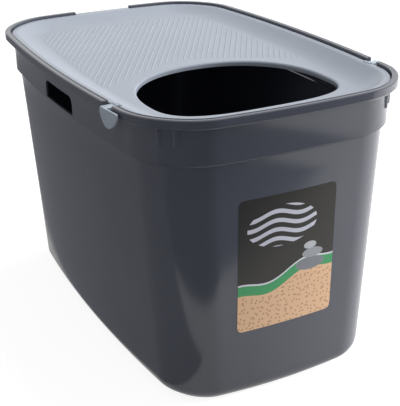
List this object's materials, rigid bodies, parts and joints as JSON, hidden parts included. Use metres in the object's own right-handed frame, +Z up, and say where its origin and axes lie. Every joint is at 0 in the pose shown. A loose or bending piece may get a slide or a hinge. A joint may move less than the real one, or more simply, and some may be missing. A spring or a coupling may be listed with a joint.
{
  "type": "top entry litter box",
  "caption": "Tall drafted tub with a folded rim and handle slots, a dished lid with a D-shaped entry hole that tips up on its front edge, and swinging side clips.",
  "frame": {"origin": "on the floor, below the middle of the tub", "axes": "+Z up, -Y is the front with the entry hole and the label, +X is to the right as seen from the front"},
  "size_m": [0.3902, 0.592, 0.381],
  "materials": {
    "tub_plastic": "glossy recycled polypropylene",
    "lid_plastic": "satin polypropylene",
    "clip_plastic": "satin polypropylene",
    "label_film": "printed adhesive film"
  },
  "bodies": {
    "tub": {"tub": "tub_plastic", "front_label": "label_film"},
    "lid": {"lid": "lid_plastic"},
    "left_clip": {"left_clip": "clip_plastic"},
    "right_clip": {"right_clip": "clip_plastic"}
  },
  "joints": [
    {"name": "lid_hinge", "type": "hinge", "parent": "tub", "child": "lid", "pos_m": [0, -0.286, 0.3788], "axis": [1, 0, 0], "range_deg": [0, 95]},
    {"name": "left_clip_hinge", "type": "hinge", "parent": "lid", "child": "left_clip", "pos_m": [-0.17514, -0.1794, 0.37605], "axis": [0, 1, 0], "range_deg": [0, 120]},
    {"name": "right_clip_hinge", "type": "hinge", "parent": "lid", "child": "right_clip", "pos_m": [0.17514, -0.1794, 0.37605], "axis": [0, -1, 0], "range_deg": [0, 120]}
  ]
}
